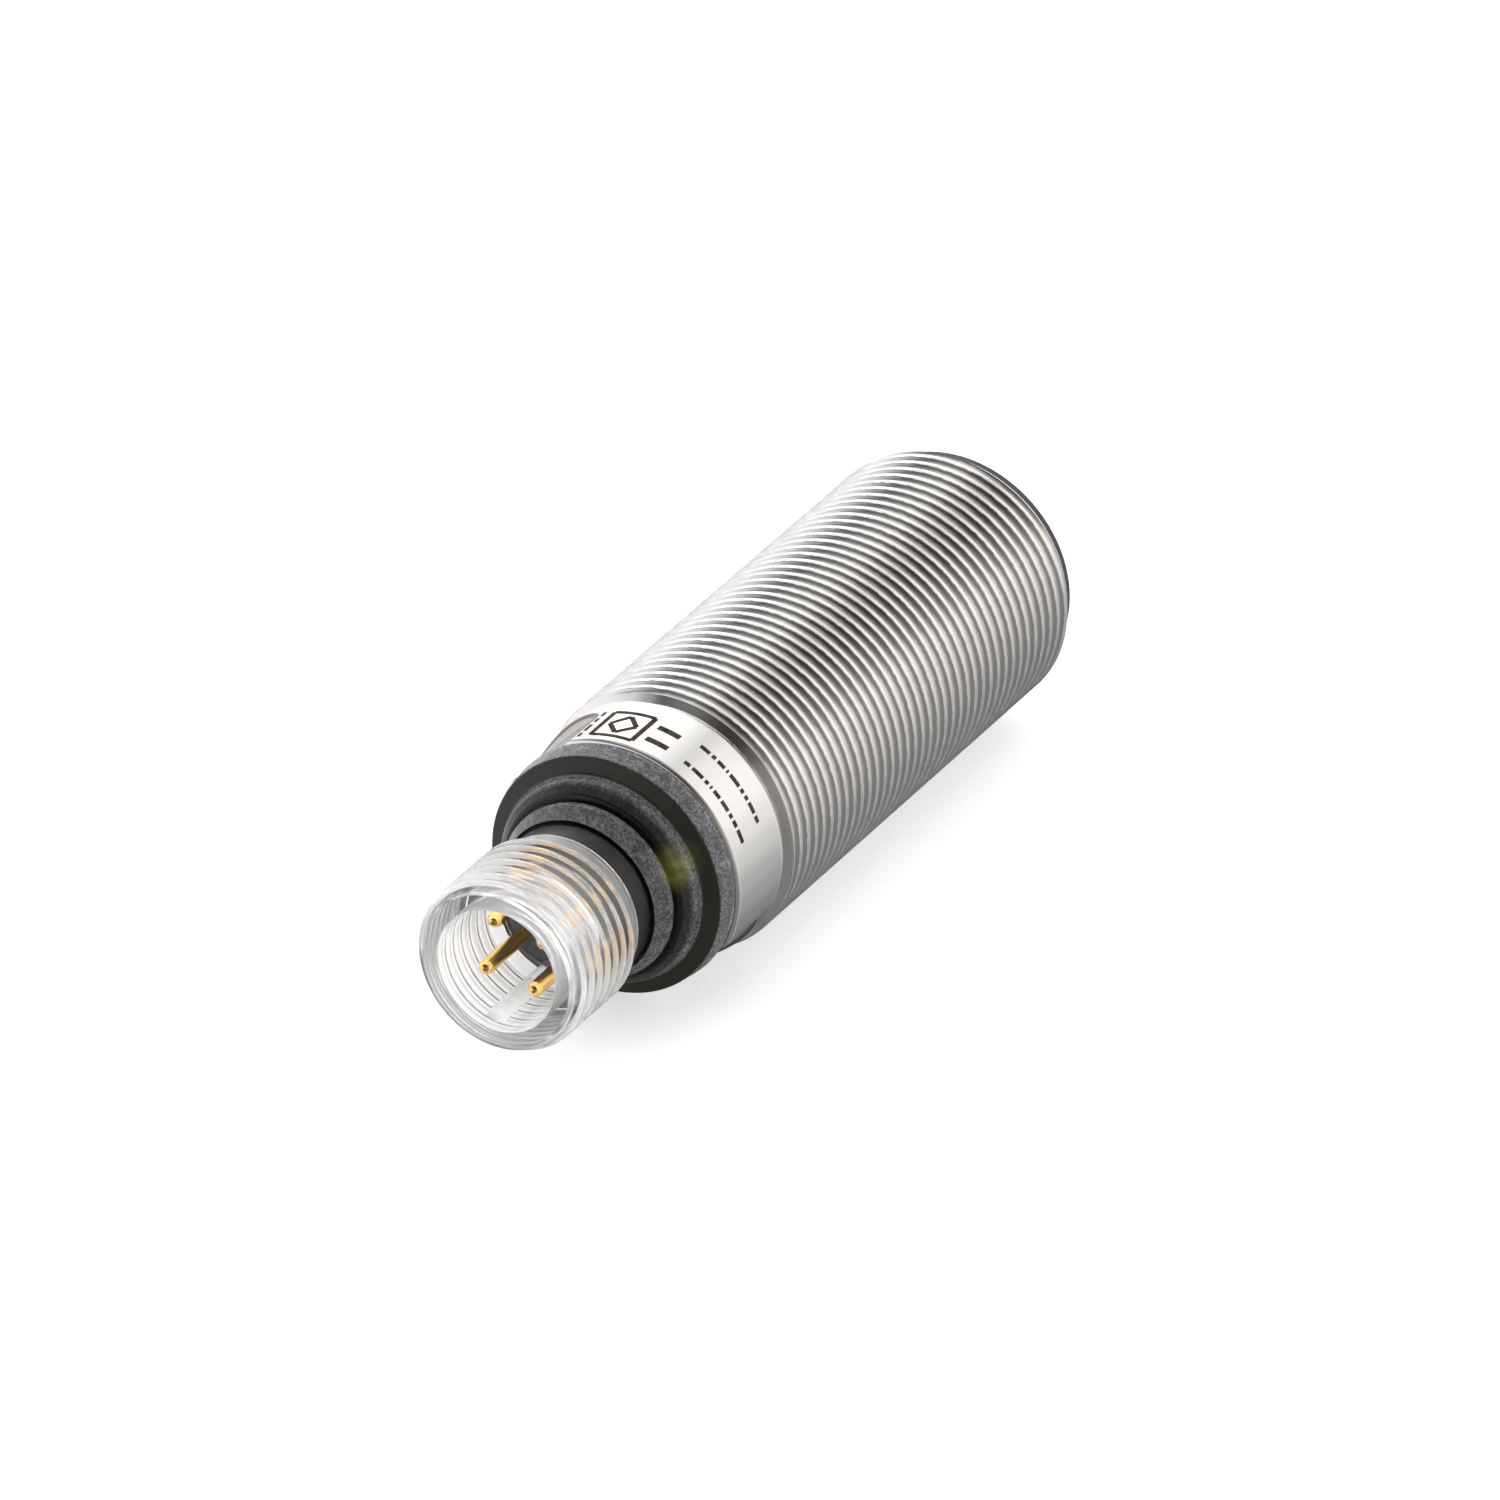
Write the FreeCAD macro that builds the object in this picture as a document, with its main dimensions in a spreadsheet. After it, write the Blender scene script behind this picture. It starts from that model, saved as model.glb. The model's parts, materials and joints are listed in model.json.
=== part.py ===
import FreeCAD, Part
import math
import os
import re
import Sketcher

# Inductive proximity sensor: M18 x 1 barrel, M12 x 1 plug, 60 mm long.
# Every piece is drawn at its station along the axis, in millimetres from the plug's front.
# Each Placement then moves it back by the overall length, so that the centre of the
# sensing face is the origin, +X points out of that face and +Z is up.

SIZES = [
    ("overall_length", 60.0, "plug front to sensing face"),
    ("crest_radius", 8.95, "M18 x 1 outside thread, crest"),
    ("root_radius", 8.34, "M18 x 1 outside thread, root"),
    ("thread_pitch", 1.0, "pitch of both threads"),
    ("crest_flat", 0.125, "flat left on a crest"),
    ("groove_reach", 0.09, "thread cutter, height over a crest"),
    ("thread_overrun", 0.6, "thread cutter, run past the last crest"),
    ("cut_margin", 1.0, "length of a cut or a pad past the surface it meets"),
    ("barrel_start", 15.45, "front end face of the barrel"),
    ("barrel_end", 59.25, "rear end face of the barrel"),
    ("barrel_bore", 7.5, "radius of the bore"),
    ("band_radius", 8.6, "smooth marked band"),
    ("band_rounding", 0.29, "rounding of the band's front edge"),
    ("band_end", 21.0, "rear edge of the band"),
    ("relief_radius", 8.3, "thread relief behind the band"),
    ("relief_end", 21.45, "rear edge of the relief"),
    ("thread_full", 21.95, "station where the crests reach full size"),
    ("thread_turn", 92.0, "degrees round the axis where the M18 groove starts"),
    ("thread_entry", 21.24, "station where the M18 groove starts"),
    ("end_chamfer_start", 58.3, "sensing end chamfer"),
    ("end_land", 0.05, "narrow land between that chamfer and the end face"),
    ("end_chamfer_radius", 8.3, "radius where the end chamfer meets the end face"),
    ("flat_distance", 8.0, "axis to wrench flat, 16 mm across"),
    ("flat_end", 19.0, "station where the flats' floor ends"),
    ("flat_runout", 1.6, "radius of the cutter at the end of a flat"),
    ("flat_turn", 46.0, "degrees of the flats' normal from +Y towards +Z"),
    ("plug_edge", 5.17, "radius of the plug's front face"),
    ("plug_edge_length", 0.7, "length of the plug's front chamfer"),
    ("plug_crest", 5.9, "M12 x 1 plug thread, crest"),
    ("plug_root", 5.29, "M12 x 1 plug thread, root"),
    ("plug_thread_end", 7.0, "last full crest of the plug"),
    ("plug_collar", 5.28, "smooth collar behind the plug's thread"),
    ("plug_collar_start", 7.4, "front of the collar"),
    ("plug_collar_end", 8.57, "rear of the collar"),
    ("plug_groove_entry", 0.55, "start of the plug's groove in front of its face"),
    ("plug_thread_turn", 180.0, "degrees round the axis where the plug's groove starts"),
    ("plug_stem", 4.75, "stem inside the light ring"),
    ("plug_stem_end", 17.5, "rear end of the stem"),
    ("plug_bore", 4.2, "bore round the pins"),
    ("key_radius", 0.65, "half width of the key rib"),
    ("key_centre", 4.15, "key rib's centre line, from the axis"),
    ("key_start", 1.5, "front of the straight part of the key rib"),
    ("key_turn", 280.0, "degrees of the key rib from +Y towards +Z"),
    ("pin_circle", 2.5, "radius of the circle through the pins"),
    ("pin_radius", 0.5, "contact pin"),
    ("pin_tip", 2.0, "station of the pin tips"),
    ("pin_tip_rounding", 0.49, "rounding of a pin's tip"),
    ("pin_shoulder", 16.6, "end of the pin's full diameter"),
    ("pin_tail_radius", 0.35, "solder tail of a pin"),
    ("pin_tail_end", 17.9, "end of a solder tail"),
    ("pin_turn", 55.0, "degrees of the first pin from +Y towards +Z"),
    ("carrier_start", 8.5, "front face of the contact carrier"),
    ("carrier_end", 16.5, "rear face of the contact carrier"),
    ("boss_radius", 0.95, "boss round a pin"),
    ("boss_height", 0.5, "height of a boss"),
    ("slip", 0.03, "gap between pieces that slide together"),
    ("seal_gap", 0.01, "gap between an O-ring and the wall it presses on"),
    ("ring_neck", 5.2, "neck of the light ring"),
    ("ring_neck_end", 10.45, "end of the neck"),
    ("ring_flange_inner", 5.4, "flange, front edge"),
    ("ring_flange_outer", 5.97, "flange, widest"),
    ("ring_flange_crest", 11.54, "station of the flange's widest edge"),
    ("ring_flange_end", 11.85, "rear edge of the flange"),
    ("ring_groove", 5.62, "groove behind the flange"),
    ("ring_groove_end", 12.1, "end of that groove"),
    ("ring_bulge_front", 12.2, "front of the bulge"),
    ("ring_bulge_foot", 6.3, "bulge, front corner"),
    ("ring_bulge_radius", 7.0, "bulge, widest"),
    ("ring_bulge_start", 12.9, "bulge, start of its crown"),
    ("ring_bulge_end", 13.55, "bulge, foot of the rim's wall"),
    ("ring_rim_start", 13.95, "front of the rim"),
    ("ring_rim_front", 8.13, "rim, front radius"),
    ("ring_rim_back", 8.3, "rim, radius at the barrel's face"),
    ("flange_rounding", 0.3, "rounding of the flange's edge"),
    ("bulge_foot_rounding", 0.4, "rounding of the bulge's foot"),
    ("bulge_rounding", 0.9, "rounding of the bulge's crown"),
    ("rim_foot_rounding", 0.3, "rounding at the foot of the rim's wall"),
    ("rim_rounding", 0.15, "rounding of the rim's front edge"),
    ("ring_spigot_end", 18.4, "rear end of the spigot in the barrel"),
    ("ring_cavity", 6.2, "radius of the cavity behind the bulge"),
    ("ring_cavity_start", 13.0, "front wall of the cavity"),
    ("seal_radius", 0.3, "thickness radius of the barrel's O-ring"),
    ("seal_station", 17.0, "station of the barrel's O-ring"),
    ("seal_groove", 6.88, "floor of the barrel O-ring's groove"),
    ("seal_groove_width", 0.8, "width of that groove"),
    ("stem_seal_radius", 0.27, "thickness radius of the stem's O-ring"),
    ("stem_seal_station", 11.2, "station of the stem's O-ring"),
    ("stem_seal_groove", 5.34, "floor of the stem O-ring's groove"),
    ("led_board_start", 14.6, "front of the LED board"),
    ("led_board_thickness", 0.8, "LED board"),
    ("led_board_inner", 4.85, "LED board, hole"),
    ("led_board_outer", 6.15, "LED board, outside"),
    ("led_height", 0.9, "LED body along the axis"),
    ("led_depth", 1.0, "LED body, radial"),
    ("led_width", 1.6, "LED body, across"),
    ("led_centre", 5.5, "LED body's centre from the axis"),
    ("led_turn", 156.0, "degrees of the first LED from +Y towards +Z"),
    ("sleeve_start", 18.6, "front end of the insulating sleeve"),
    ("sleeve_end", 50.4, "rear end of the insulating sleeve"),
    ("sleeve_outer", 7.45, "outside of sleeve and cap skirt"),
    ("sleeve_inner", 7.1, "inside of sleeve and cap skirt"),
    ("cap_skirt_start", 50.6, "front end of the cap's skirt"),
    ("cap_floor", 59.0, "inner face of the cap"),
    ("cap_lip_radius", 8.15, "lip over the barrel's end"),
    ("cap_lip_edge", 0.1, "chamfer of the lip"),
    ("core_radius", 6.65, "ferrite pot core"),
    ("core_start", 53.6, "back of the core"),
    ("core_base_end", 55.4, "floor of the core's pot"),
    ("core_end", 58.9, "front rim of the core"),
    ("core_wall_inner", 5.7, "inside of the core's wall"),
    ("core_post", 2.8, "core's centre post"),
    ("core_hole", 1.4, "hole through the centre post"),
    ("shield_inner", 6.7, "shield ring, inside"),
    ("shield_outer", 7.07, "shield ring, outside"),
    ("shield_start", 53.2, "shield ring, front end"),
    ("bobbin_inner", 2.85, "bobbin, hole"),
    ("bobbin_tube", 3.3, "bobbin, tube"),
    ("bobbin_outer", 5.6, "bobbin, flanges"),
    ("bobbin_start", 55.5, "bobbin, back face"),
    ("bobbin_end", 58.8, "bobbin, front face"),
    ("bobbin_flange", 0.4, "bobbin, flange thickness"),
    ("winding_outer", 5.3, "coil, outside"),
    ("holder_start", 51.2, "core holder, front face"),
    ("holder_end", 53.15, "core holder, back face"),
    ("holder_radius", 7.05, "core holder, outside"),
    ("holder_spigot", 1.35, "core holder, spigot in the core's hole"),
    ("holder_spigot_end", 57.0, "end of that spigot"),
    ("slot_depth", 1.05, "slot for the end of the board"),
    ("board_start", 20.5, "circuit board, front end"),
    ("board_length", 31.7, "circuit board, length"),
    ("board_width", 12.8, "circuit board, width"),
    ("board_thickness", 1.0, "circuit board, thickness"),
    ("coil_lead_side", 4.4, "coil leads, distance to the side"),
    ("coil_lead_height", 1.3, "coil leads, height over the axis"),
    ("coil_lead_radius", 0.12, "coil leads"),
    ("pin_lead_radius", 0.25, "wires between pins and board"),
    ("led_lead_radius", 0.15, "wires between LED board and board"),
    ("lead_bend", 0.6, "bend radius of the wires"),
    ("pad_length", 2.0, "length of a wire on the board"),
    ("pin_lead_straight", 0.8, "straight run of a pin's wire"),
    ("pin_pad_start", 0.4, "pin wires, start on the board"),
    ("pin_pad_side", 4.6, "pin wires, distance to the side on the board"),
    ("led_lead_bend_start", 17.4, "LED wires, first bend"),
    ("led_lead_bend_end", 20.0, "LED wires, second bend"),
    ("led_pad_side", 5.61, "LED wires, distance to the side on the board"),
    ("coil_lead_bend_start", 50.6, "coil leads, first bend"),
    ("coil_lead_bend_end", 49.4, "coil leads, second bend"),
]

QUARTER = 90.0
FULL_TURN = 360.0
PIN_COUNT = 4
LED_COUNT = 4
FLANK_ANGLE = "30 deg"
ALONG_AXIS = FreeCAD.Vector(1, 0, 0)
UPWARD = FreeCAD.Vector(0, 0, 1)
TURN_TO_AXIS = FreeCAD.Rotation(FreeCAD.Vector(0, 1, 0), QUARTER)

doc = FreeCAD.newDocument("ProximitySensor")
sheet = doc.addObject("Spreadsheet::Sheet", "Sizes")
for row, (alias, size, meaning) in enumerate(SIZES, start=1):
    sheet.set("A%d" % row, meaning)
    sheet.set("B%d" % row, str(size))
    sheet.setAlias("B%d" % row, alias)
doc.recompute()

ALIASES = {alias for alias, size, meaning in SIZES}
subparts = []


def sized(expression):
    """The expression with every sheet alias written as a reference to the sheet."""
    def reference(word):
        return "Sizes." + word[0] if word[0] in ALIASES else word[0]

    return re.sub(r"[a-z_]+", reference, expression)


def value(expression):
    """The present value of an expression of sheet aliases."""
    return float(sheet.evalExpression(expression))


def at_station(item, label):
    """Names a finished sub-part and moves it to the row frame."""
    item.Label = label
    item.setExpression("Placement.Base.x", sized("-overall_length"))
    subparts.append(item)
    return item


def origin_feature(body, role):
    return next(feature for feature in body.Origin.OriginFeatures if feature.Role == role)


def new_body(name):
    return doc.addObject("PartDesign::Body", name)


def turn_sketch(sketch, turn):
    """Turns a sketch that holds the axis about that axis."""
    if turn != "0":
        rotation = FreeCAD.Rotation(ALONG_AXIS, value(turn))
        sketch.AttachmentOffset = FreeCAD.Placement(FreeCAD.Vector(), rotation)
        sketch.setExpression("AttachmentOffset.Rotation.Angle", sized(turn))


def bound(sketch, constraint, expression):
    """Adds a constraint whose size follows an expression."""
    number = sketch.addConstraint(constraint)
    sketch.setExpression("Constraints[%d]" % number, sized(expression))


def outline(body, name, corners, turn="0"):
    """A closed sketch through (station, radius) corners, in a plane turned about the axis."""
    sketch = body.newObject("Sketcher::SketchObject", name)
    sketch.AttachmentSupport = [(origin_feature(body, "XY_Plane"), "")]
    sketch.MapMode = "FlatFace"
    turn_sketch(sketch, turn)
    points = [FreeCAD.Vector(value(along), value(across), 0) for along, across in corners]
    count = len(points)
    for index in range(count):
        sketch.addGeometry(Part.LineSegment(points[index], points[(index + 1) % count]), False)
    for index in range(count):
        sketch.addConstraint(Sketcher.Constraint("Coincident", index, 2, (index + 1) % count, 1))
    for index, (along, across) in enumerate(corners):
        for kind, expression in (("DistanceX", along), ("DistanceY", across)):
            bound(sketch, Sketcher.Constraint(kind, -1, 1, index, 1, value(expression)), expression)
    return sketch


def revolved(name, corners):
    """A body turned about the axis from one closed outline."""
    body = new_body(name)
    turned = body.newObject("PartDesign::Revolution", name + "_turned")
    turned.Profile = outline(body, name + "_outline", corners)
    turned.ReferenceAxis = (origin_feature(body, "X_Axis"), [""])
    turned.Angle = FULL_TURN
    doc.recompute()
    return body


def tube(name, start, end, inner, outer):
    """A plain ring or tube between two stations."""
    return revolved(name, [(start, inner), (start, outer), (end, outer), (end, inner)])


def cut_thread(body, name, entry, length, root, crest, turn):
    """Cuts a right-hand helical groove with 60 degree flanks into a body."""
    reach = "(%s + groove_reach)" % crest
    depth = "(%s - %s)" % (crest, root)
    half_floor = "((thread_pitch - crest_flat) / 2 - %s * tan(%s))" % (depth, FLANK_ANGLE)
    half_mouth = "(%s + (%s - %s) * tan(%s))" % (half_floor, reach, root, FLANK_ANGLE)
    groove = outline(body, name + "_groove", [
        ("%s - %s" % (entry, half_floor), root),
        ("%s + %s" % (entry, half_floor), root),
        ("%s + %s" % (entry, half_mouth), reach),
        ("%s - %s" % (entry, half_mouth), reach),
    ], turn)
    helix = body.newObject("PartDesign::SubtractiveHelix", name)
    helix.Profile = groove
    helix.ReferenceAxis = (origin_feature(body, "X_Axis"), [""])
    helix.Mode = 0
    helix.setExpression("Pitch", sized("thread_pitch"))
    helix.setExpression("Height", sized(length))
    helix.LeftHanded = False
    doc.recompute()
    return helix


def round_edge(body, name, station, radius, fillet):
    """Fillets the circular edges of a turned body at one station and radius."""
    base = body.Tip
    wanted = FreeCAD.Vector(value(station), 0, 0)
    edges = []
    for number, edge in enumerate(base.Shape.Edges, start=1):
        curve = edge.Curve
        if isinstance(curve, Part.Circle) and curve.Center.distanceToPoint(wanted) < value("slip"):
            if abs(curve.Radius - value(radius)) < value("slip"):
                edges.append("Edge%d" % number)
    rounding = body.newObject("PartDesign::Fillet", name)
    rounding.Base = (base, edges)
    rounding.setExpression("Radius", sized(fillet))
    body.Tip = rounding
    doc.recompute()
    return rounding


def polar(feature, body, name, count):
    """Repeats a feature round the axis and makes the result the body's tip."""
    pattern = body.newObject("PartDesign::PolarPattern", name)
    pattern.Originals = [feature]
    pattern.Axis = (origin_feature(body, "X_Axis"), [""])
    pattern.Angle = FULL_TURN
    pattern.Occurrences = count
    body.Tip = pattern
    doc.recompute()
    return pattern


def circles(body, name, centres, radius):
    """A sketch across the axis with equal circles at (y, z) centres."""
    sketch = body.newObject("Sketcher::SketchObject", name)
    sketch.AttachmentSupport = [(origin_feature(body, "YZ_Plane"), "")]
    sketch.MapMode = "FlatFace"
    for index, (across, upward) in enumerate(centres):
        centre = FreeCAD.Vector(value(across), value(upward), 0)
        sketch.addGeometry(Part.Circle(centre, UPWARD, value(radius)), False)
        for kind, expression in (("DistanceX", across), ("DistanceY", upward)):
            bound(sketch, Sketcher.Constraint(kind, -1, 1, index, 3, value(expression)), expression)
        bound(sketch, Sketcher.Constraint("Radius", index, value(radius)), radius)
    return sketch


def along_axis(body, kind, name, sketch, start, length):
    """A pad or a pocket along +X from a sketch that is moved to a station."""
    sketch.setExpression("AttachmentOffset.Base.z", sized(start))
    feature = body.newObject(kind, name)
    feature.Profile = sketch
    feature.setExpression("Length", sized(length))
    feature.Reversed = kind == "PartDesign::Pocket"
    body.Tip = feature
    doc.recompute()
    return feature


def box(name, station, across, upward, length, width, height):
    """A box centred on (across, upward) that starts at a station; all are expressions."""
    item = doc.addObject("Part::Box", name)
    item.setExpression("Length", sized(length))
    item.setExpression("Width", sized(width))
    item.setExpression("Height", sized(height))
    item.setExpression("Placement.Base.x", sized(station))
    item.setExpression("Placement.Base.y", sized("%s - (%s) / 2" % (across, width)))
    item.setExpression("Placement.Base.z", sized("%s - (%s) / 2" % (upward, height)))
    return item


def polar_point(radius, turn):
    """Expressions for the y and z of a point at a radius and a turn about the axis."""
    return "%s * cos(%s * 1 deg)" % (radius, turn), "%s * sin(%s * 1 deg)" % (radius, turn)


def rounded_wire(points, bend):
    """Straight runs joined by tangent arcs of one bend radius."""
    edges = []
    start = points[0]
    for before, corner, after in zip(points, points[1:], points[2:]):
        inward = (before - corner).normalize()
        outward = (after - corner).normalize()
        half_angle = inward.getAngle(outward) / 2
        reach = bend / math.tan(half_angle)
        middle = (inward + outward).normalize()
        nearest = corner + middle * (bend / math.sin(half_angle) - bend)
        arc_start = corner + inward * reach
        arc_end = corner + outward * reach
        edges.append(Part.LineSegment(start, arc_start).toShape())
        edges.append(Part.Arc(arc_start, nearest, arc_end).toShape())
        start = arc_end
    edges.append(Part.LineSegment(start, points[-1]).toShape())
    return Part.Wire(edges)


def cutter_outline(body, name):
    """The side view of a wrench flat's cutter: a straight floor and a round run-out."""
    sketch = body.newObject("Sketcher::SketchObject", name)
    sketch.AttachmentSupport = [(origin_feature(body, "XY_Plane"), "")]
    sketch.MapMode = "FlatFace"
    turn_sketch(sketch, "flat_turn")
    runout = value("flat_runout")
    front = FreeCAD.Vector(value("barrel_start - cut_margin"), value("flat_distance"), 0)
    corner = FreeCAD.Vector(value("flat_end"), front.y, 0)
    centre = corner + FreeCAD.Vector(0, runout, 0)
    top = centre + FreeCAD.Vector(runout, 0, 0)
    front_top = FreeCAD.Vector(front.x, top.y, 0)
    circle = Part.Circle(centre, UPWARD, runout)
    sketch.addGeometry(Part.LineSegment(front, corner), False)
    sketch.addGeometry(Part.ArcOfCircle(circle, -math.pi / 2, 0), False)
    sketch.addGeometry(Part.LineSegment(top, front_top), False)
    sketch.addGeometry(Part.LineSegment(front_top, front), False)
    sketch.addConstraint(Sketcher.Constraint("Tangent", 0, 2, 1, 1))
    for before, after in ((1, 2), (2, 3), (3, 0)):
        sketch.addConstraint(Sketcher.Constraint("Coincident", before, 2, after, 1))
    sketch.addConstraint(Sketcher.Constraint("Horizontal", 0))
    sketch.addConstraint(Sketcher.Constraint("Horizontal", 2))
    sketch.addConstraint(Sketcher.Constraint("Vertical", 3))
    sketch.addConstraint(Sketcher.Constraint("Horizontal", 1, 3, 1, 2))
    bound(sketch, Sketcher.Constraint("Radius", 1, runout), "flat_runout")
    bound(sketch, Sketcher.Constraint("DistanceX", -1, 1, 0, 2, corner.x), "flat_end")
    bound(sketch, Sketcher.Constraint("DistanceY", -1, 1, 0, 2, corner.y), "flat_distance")
    bound(sketch, Sketcher.Constraint("DistanceX", -1, 1, 0, 1, front.x), "barrel_start - cut_margin")
    return sketch


def bent_leads(name, routes, radius):
    """Round wires along routes of (station, y, z) points, one solid each."""
    solids = []
    for route in routes:
        points = [FreeCAD.Vector(*point) for point in route]
        path = rounded_wire(points, value("lead_bend"))
        section = Part.Wire(Part.Circle(points[0], ALONG_AXIS, value(radius)).toShape())
        solids.append(path.makePipeShell([section], True, True))
    item = doc.addObject("Part::Feature", name)
    item.Shape = Part.Compound(solids)
    return item


# Barrel: turned profile, wrench flats, then the M18 thread.
barrel = revolved("threaded_housing", [
    ("barrel_start", "barrel_bore"),
    ("barrel_start", "band_radius"),
    ("band_end", "band_radius"),
    ("band_end", "relief_radius"),
    ("relief_end", "relief_radius"),
    ("thread_full", "crest_radius"),
    ("end_chamfer_start", "crest_radius"),
    ("barrel_end - end_land", "end_chamfer_radius"),
    ("barrel_end", "end_chamfer_radius"),
    ("barrel_end", "barrel_bore"),
])
round_edge(barrel, "band_edge", "barrel_start", "band_radius", "band_rounding")
flat_outline = cutter_outline(barrel, "flat_outline")
flat_cut = barrel.newObject("PartDesign::Pocket", "flat_cut")
flat_cut.Profile = flat_outline
flat_cut.Midplane = True
flat_cut.setExpression("Length", sized("4 * crest_radius"))
doc.recompute()
polar(flat_cut, barrel, "wrench_flats", 2)
cut_thread(barrel, "m_eighteen_thread", "thread_entry", "barrel_end - thread_entry + thread_overrun",
           "root_radius", "crest_radius", "thread_turn")
at_station(barrel, "threaded_housing")

# Sensing face cap: disc with a lip over the barrel's end and a skirt inside the bore.
at_station(revolved("sensing_face_cap", [
    ("cap_skirt_start", "sleeve_inner"),
    ("cap_skirt_start", "sleeve_outer"),
    ("barrel_end", "sleeve_outer"),
    ("barrel_end", "cap_lip_radius"),
    ("overall_length - cap_lip_edge", "cap_lip_radius"),
    ("overall_length", "cap_lip_radius - cap_lip_edge"),
    ("overall_length", "0"),
    ("cap_floor", "0"),
    ("cap_floor", "sleeve_inner"),
]), "sensing_face_cap")

# Light ring: neck, flange, bulge and rim outside; bore, seal groove and LED cavity inside.
light_ring = revolved("light_ring", [
    ("plug_collar_end", "plug_stem + slip"),
    ("plug_collar_end", "ring_neck"),
    ("ring_neck_end", "ring_neck"),
    ("ring_neck_end", "ring_flange_inner"),
    ("ring_flange_crest", "ring_flange_outer"),
    ("ring_flange_end", "ring_flange_outer"),
    ("ring_flange_end", "ring_groove"),
    ("ring_groove_end", "ring_groove"),
    ("ring_bulge_front", "ring_bulge_foot"),
    ("ring_bulge_start", "ring_bulge_radius"),
    ("ring_bulge_end", "ring_bulge_radius"),
    ("ring_rim_start", "ring_rim_front"),
    ("barrel_start", "ring_rim_back"),
    ("barrel_start", "barrel_bore - slip"),
    ("seal_station - seal_groove_width / 2", "barrel_bore - slip"),
    ("seal_station - seal_groove_width / 2", "seal_groove"),
    ("seal_station + seal_groove_width / 2", "seal_groove"),
    ("seal_station + seal_groove_width / 2", "barrel_bore - slip"),
    ("ring_spigot_end", "barrel_bore - slip"),
    ("ring_spigot_end", "ring_cavity"),
    ("ring_cavity_start", "ring_cavity"),
    ("ring_cavity_start", "plug_stem + slip"),
    ("stem_seal_station + stem_seal_radius + slip", "plug_stem + slip"),
    ("stem_seal_station + stem_seal_radius + slip", "stem_seal_groove"),
    ("stem_seal_station - stem_seal_radius - slip", "stem_seal_groove"),
    ("stem_seal_station - stem_seal_radius - slip", "plug_stem + slip"),
])
RING_ROUNDINGS = [
    ("flange_edge", "ring_flange_crest", "ring_flange_outer", "flange_rounding"),
    ("bulge_foot", "ring_bulge_front", "ring_bulge_foot", "bulge_foot_rounding"),
    ("bulge_crown", "ring_bulge_start", "ring_bulge_radius", "bulge_rounding"),
    ("rim_foot", "ring_bulge_end", "ring_bulge_radius", "rim_foot_rounding"),
    ("rim_edge", "ring_rim_start", "ring_rim_front", "rim_rounding"),
]
for name, station, radius, fillet in RING_ROUNDINGS:
    round_edge(light_ring, name, station, radius, fillet)
at_station(light_ring, "light_ring")

# Plug body: threaded shell with a bore, a collar, a stem and a key rib with a round nose.
plug = revolved("plug_body", [
    ("0", "plug_bore"),
    ("0", "plug_edge"),
    ("plug_edge_length", "plug_crest"),
    ("plug_thread_end", "plug_crest"),
    ("plug_collar_start", "plug_collar"),
    ("plug_collar_end", "plug_collar"),
    ("plug_collar_end", "plug_stem"),
    ("plug_stem_end", "plug_stem"),
    ("plug_stem_end", "plug_bore"),
])
cut_thread(plug, "m_twelve_thread", "-plug_groove_entry",
           "plug_collar_start + plug_groove_entry + thread_overrun",
           "plug_root", "plug_crest", "plug_thread_turn")
key_y, key_z = polar_point("key_centre", "key_turn")
key_circle = circles(plug, "key_circle", [(key_y, key_z)], "key_radius")
along_axis(plug, "PartDesign::Pad", "key_rib", key_circle, "key_start", "carrier_start - key_start")
nose = plug.newObject("PartDesign::AdditiveSphere", "key_nose")
nose.setExpression("Radius", sized("key_radius"))
nose.setExpression("AttachmentOffset.Base.x", sized("key_start"))
nose.setExpression("AttachmentOffset.Base.y", sized(key_y))
nose.setExpression("AttachmentOffset.Base.z", sized(key_z))
nose.AttachmentSupport = [(origin_feature(plug, "XY_Plane"), "")]
nose.MapMode = "FlatFace"
plug.Tip = nose
doc.recompute()
at_station(plug, "plug_body")

# Contact carrier: turned block with four bosses and four pin holes.
PIN_TURNS = ["(pin_turn + %d)" % (QUARTER * index) for index in range(PIN_COUNT)]
pin_centres = [polar_point("pin_circle", turn) for turn in PIN_TURNS]
carrier = revolved("contact_carrier", [
    ("carrier_start", "0"),
    ("carrier_start", "plug_bore - slip"),
    ("carrier_end", "plug_bore - slip"),
    ("carrier_end", "0"),
])
boss_circles = circles(carrier, "boss_circles", pin_centres, "boss_radius")
along_axis(carrier, "PartDesign::Pad", "bosses", boss_circles, "carrier_start - boss_height",
           "boss_height + cut_margin")
hole_circles = circles(carrier, "hole_circles", pin_centres, "pin_radius + slip")
along_axis(carrier, "PartDesign::Pocket", "pin_holes", hole_circles, "carrier_start - cut_margin",
           "carrier_end - carrier_start + 2 * cut_margin")
at_station(carrier, "contact_carrier")

# Contact pins: round tip, straight shank, thin solder tail.
for index, (pin_y, pin_z) in enumerate(pin_centres, start=1):
    pin = revolved("contact_pin_%d" % index, [
        ("pin_tip", "0"),
        ("pin_tip", "pin_radius"),
        ("pin_shoulder", "pin_radius"),
        ("pin_shoulder", "pin_tail_radius"),
        ("pin_tail_end", "pin_tail_radius"),
        ("pin_tail_end", "0"),
    ])
    round_edge(pin, "tip_%d" % index, "pin_tip", "pin_radius", "pin_tip_rounding")
    at_station(pin, "contact_pin_%d" % index)
    pin.setExpression("Placement.Base.y", sized(pin_y))
    pin.setExpression("Placement.Base.z", sized(pin_z))


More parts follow.
